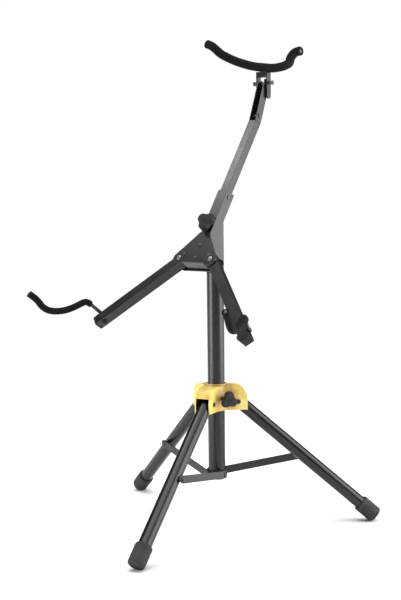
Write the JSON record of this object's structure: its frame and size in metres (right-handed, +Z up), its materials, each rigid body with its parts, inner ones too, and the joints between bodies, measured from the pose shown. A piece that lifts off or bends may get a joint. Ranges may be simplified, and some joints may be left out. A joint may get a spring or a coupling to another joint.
{
  "type": "saxophone stand",
  "caption": "Folding floor stand for a large saxophone: tripod base on a round post, two hooked lower arms and a telescoping upper arm with a padded bell rest.",
  "frame": {"origin": "centre of the bounding box footprint, on the floor under the feet", "axes": "+Z up along the post; +X to the right and +Y to the back as seen from the front; one leg points along +X turned 3 degrees, and the head faces -X -Y"},
  "size_m": [0.6112, 0.5736, 0.8629],
  "materials": {
    "black_paint": "satin black powder coat",
    "grey_paint": "satin charcoal powder coat",
    "yellow_paint": "satin golden yellow paint",
    "dark_steel": "dark zinc plate",
    "bright_steel": "bright zinc plate",
    "black_plastic": "fine-textured moulded plastic",
    "rubber": "matt moulded rubber",
    "soft_rubber": "matt soft sleeve"
  },
  "bodies": {
    "post": {"post_tube": "black_paint", "post_top_plug": "black_plastic", "bottom_hub": "black_plastic", "brace_hub_rivet_1": "dark_steel", "brace_hub_rivet_2": "dark_steel", "brace_hub_rivet_3": "dark_steel", "knee_bracket": "grey_paint", "front_plate": "grey_paint", "back_plate": "black_paint", "arm_sleeve": "grey_paint", "plate_rivet_top": "dark_steel", "plate_rivet_low": "dark_steel", "arm_nut": "dark_steel", "detent_rivet_left": "dark_steel", "detent_rivet_right": "dark_steel", "arm_pin_left": "bright_steel", "arm_pin_right": "bright_steel", "arm_bush_left": "black_plastic", "arm_bush_right": "black_plastic", "sleeve_rivet_left": "dark_steel", "sleeve_rivet_right": "dark_steel"},
    "yoke": {"yoke": "yellow_paint", "leg_pin_1": "dark_steel", "leg_pin_2": "dark_steel", "leg_pin_3": "dark_steel"},
    "yoke_knob": {"yoke_knob": "black_plastic", "yoke_screw": "dark_steel"},
    "leg_1": {"leg_tube_1": "black_paint", "foot_cap_1": "rubber"},
    "leg_2": {"leg_tube_2": "black_paint", "foot_cap_2": "rubber"},
    "leg_3": {"leg_tube_3": "black_paint", "foot_cap_3": "rubber"},
    "brace_1": {"brace_1": "black_paint", "brace_leg_rivet_1": "dark_steel"},
    "brace_2": {"brace_2": "black_paint", "brace_leg_rivet_2": "dark_steel"},
    "brace_3": {"brace_3": "black_paint", "brace_leg_rivet_3": "dark_steel"},
    "upper_arm": {"upper_arm": "grey_paint", "neck_channel": "grey_paint", "neck_rivet": "dark_steel", "clevis_pin": "dark_steel"},
    "arm_knob": {"arm_knob": "black_plastic", "arm_screw": "dark_steel"},
    "bell_rest": {"clevis": "black_paint", "bell_rest": "soft_rubber"},
    "lower_arm_left": {"lower_arm_left": "grey_paint", "arm_end_plug_left": "black_plastic"},
    "hook_left": {"hook_rod_left": "black_paint", "hook_pad_left": "soft_rubber", "hook_nut_left": "dark_steel"},
    "lower_arm_right": {"lower_arm_right": "grey_paint", "arm_end_plug_right": "black_plastic"},
    "hook_right": {"hook_rod_right": "black_paint", "hook_pad_right": "soft_rubber", "hook_nut_right": "dark_steel"}
  },
  "joints": [
    {"name": "yoke_slide", "type": "slide", "parent": "post", "child": "yoke", "axis": [0, 0, 1], "range_m": [0, 0.1784]},
    {"name": "leg_fold_1", "type": "hinge", "parent": "yoke", "child": "leg_1", "pos_m": [0.05327, 0.04238, 0.2216], "axis": [-0.0523, 0.9986, 0], "range_deg": [-0.5, 49.5]},
    {"name": "brace_fold_1", "type": "hinge", "parent": "post", "child": "brace_1", "pos_m": [0.01694, 0.0573, 0.0909], "axis": [0.0523, -0.9986, 0], "range_deg": [-0.5, 67.28]},
    {"name": "leg_fold_2", "type": "hinge", "parent": "yoke", "child": "leg_2", "pos_m": [-0.0046, 0.07187, 0.2216], "axis": [-0.8387, -0.5446, 0], "range_deg": [-0.5, 49.5]},
    {"name": "brace_fold_2", "type": "hinge", "parent": "post", "child": "brace_2", "pos_m": [0.00064, 0.03295, 0.0909], "axis": [0.8387, 0.5446, 0], "range_deg": [-0.5, 67.28]},
    {"name": "leg_fold_3", "type": "hinge", "parent": "yoke", "child": "leg_3", "pos_m": [-0.0012, 0.00701, 0.2216], "axis": [0.891, -0.454, 0], "range_deg": [-0.5, 49.5]},
    {"name": "brace_fold_3", "type": "hinge", "parent": "post", "child": "brace_3", "pos_m": [0.02988, 0.03101, 0.0909], "axis": [-0.891, 0.454, 0], "range_deg": [-0.5, 67.28]},
    {"name": "yoke_knob_turn", "type": "hinge", "parent": "yoke", "child": "yoke_knob", "pos_m": [0.03761, 0.00687, 0.228], "axis": [0.5446, -0.8387, 0], "range_deg": [0, 360]},
    {"name": "upper_arm_slide", "type": "slide", "parent": "post", "child": "upper_arm", "axis": [0.3548, 0.4228, 0.8339], "range_m": [-0.028, 0.026]},
    {"name": "arm_knob_turn", "type": "hinge", "parent": "post", "child": "arm_knob", "pos_m": [0.0006, 0.02227, 0.53641], "axis": [-0.536, -0.6388, 0.5519], "range_deg": [0, 360]},
    {"name": "bell_rest_tilt", "type": "hinge", "parent": "upper_arm", "child": "bell_rest", "pos_m": [0.10603, 0.14793, 0.78011], "axis": [0.766, -0.6428, 0], "range_deg": [-30, 30]},
    {"name": "lower_arm_left_fold", "type": "hinge", "parent": "post", "child": "lower_arm_left", "pos_m": [-0.04028, 0.02785, 0.46847], "axis": [-0.536, -0.6388, 0.5519], "range_deg": [0, 46]},
    {"name": "hook_left_swing", "type": "hinge", "parent": "lower_arm_left", "child": "hook_left", "pos_m": [-0.18144, 0.05771, 0.36594], "axis": [-0.2769, 0.7507, 0.5998], "range_deg": [0, 90]},
    {"name": "lower_arm_right_fold", "type": "hinge", "parent": "post", "child": "lower_arm_right", "pos_m": [0.01319, -0.01702, 0.46847], "axis": [0.536, 0.6388, -0.5519], "range_deg": [0, 43.5]},
    {"name": "hook_right_swing", "type": "hinge", "parent": "lower_arm_right", "child": "hook_right", "pos_m": [0.06097, -0.14962, 0.3614], "axis": [-0.7999, 0.1752, -0.574], "range_deg": [0, 90]}
  ],
  "couplings": [
    {"joint": "leg_fold_1", "follows": "yoke_slide", "rad_per_m": 4.7938},
    {"joint": "brace_fold_1", "follows": "yoke_slide", "rad_per_m": 6.5336},
    {"joint": "leg_fold_2", "follows": "yoke_slide", "rad_per_m": 4.7938},
    {"joint": "brace_fold_2", "follows": "yoke_slide", "rad_per_m": 6.5336},
    {"joint": "leg_fold_3", "follows": "yoke_slide", "rad_per_m": 4.7938},
    {"joint": "brace_fold_3", "follows": "yoke_slide", "rad_per_m": 6.5336}
  ]
}
